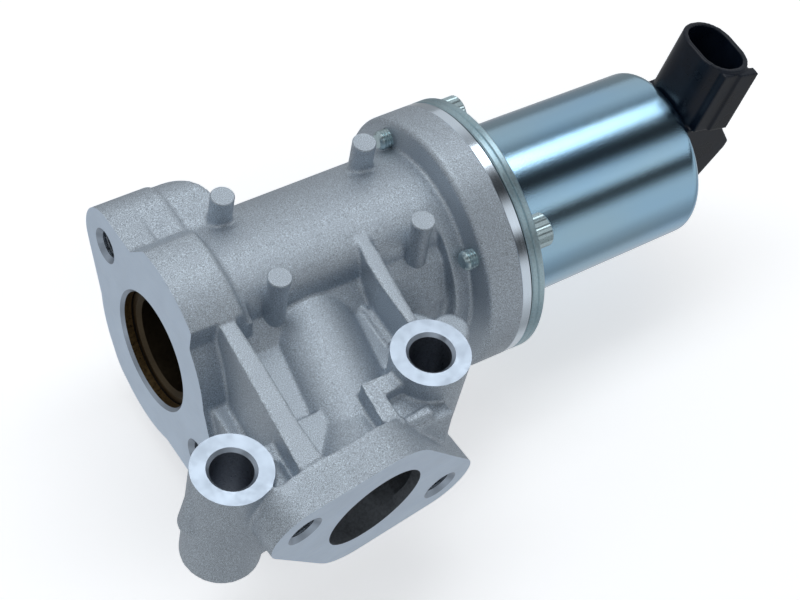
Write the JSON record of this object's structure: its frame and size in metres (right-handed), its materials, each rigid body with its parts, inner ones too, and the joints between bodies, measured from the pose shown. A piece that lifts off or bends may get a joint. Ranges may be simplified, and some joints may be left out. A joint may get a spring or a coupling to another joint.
{
  "type": "egr valve",
  "caption": "Solenoid exhaust gas recirculation valve: cast housing with flanged inlet and outlet, spring-closed poppet and a plugged solenoid.",
  "frame": {"origin": "centre of the inlet port on its machined flange face, which is also the centre of its two tapped holes", "axes": "+X along the valve axis from the inlet face to the solenoid, +Z towards the faces of the two mounting bosses, so that the outlet port looks along -Y"},
  "size_m": [0.1865, 0.1029, 0.0691],
  "materials": {
    "cast_aluminium": "blasted casting with a fine grain, machined port and boss faces",
    "seat_bronze": "turned, golden brown",
    "valve_steel": "dull dark steel",
    "ground_steel": "ground",
    "spring_steel": "oiled wire",
    "turned_steel": "bright turned",
    "zinc_plate": "blue zinc plating",
    "zinc_can": "blue zinc plating over a drawn cup, glossy with a faint speckle",
    "black_seal": "matt",
    "black_plastic": "moulded, satin",
    "copper_wire": "enamelled winding",
    "tinned_blade": "tinned"
  },
  "bodies": {
    "housing": {"valve_housing": "cast_aluminium", "valve_seat": "seat_bronze", "stem_guide": "seat_bronze", "deposit_shield": "valve_steel", "stem_seal": "black_seal", "seal_retainer": "valve_steel", "return_spring": "spring_steel", "bearing_ring": "turned_steel", "flange_gasket": "black_seal", "spring_plate": "zinc_plate", "solenoid_flange": "zinc_plate", "flange_screws": "zinc_plate", "solenoid_can": "zinc_can", "can_seal": "black_seal", "armature_sleeve": "seat_bronze", "pole_core": "ground_steel", "flux_washer": "ground_steel", "coil_bobbin": "black_plastic", "coil_winding": "copper_wire", "connector_housing": "black_plastic", "connector_terminals": "tinned_blade"},
    "plunger": {"valve_stem": "ground_steel", "poppet_valve": "valve_steel", "retainer_clip": "spring_steel", "spring_retainer": "valve_steel", "armature": "ground_steel"}
  },
  "joints": [
    {"name": "valve_lift", "type": "slide", "parent": "housing", "child": "plunger", "axis": [1, 0, 0], "range_m": [0, 0.006], "stiffness_N_per_m": 3000, "springref_m": -0.008, "deforming": ["return_spring"]}
  ]
}
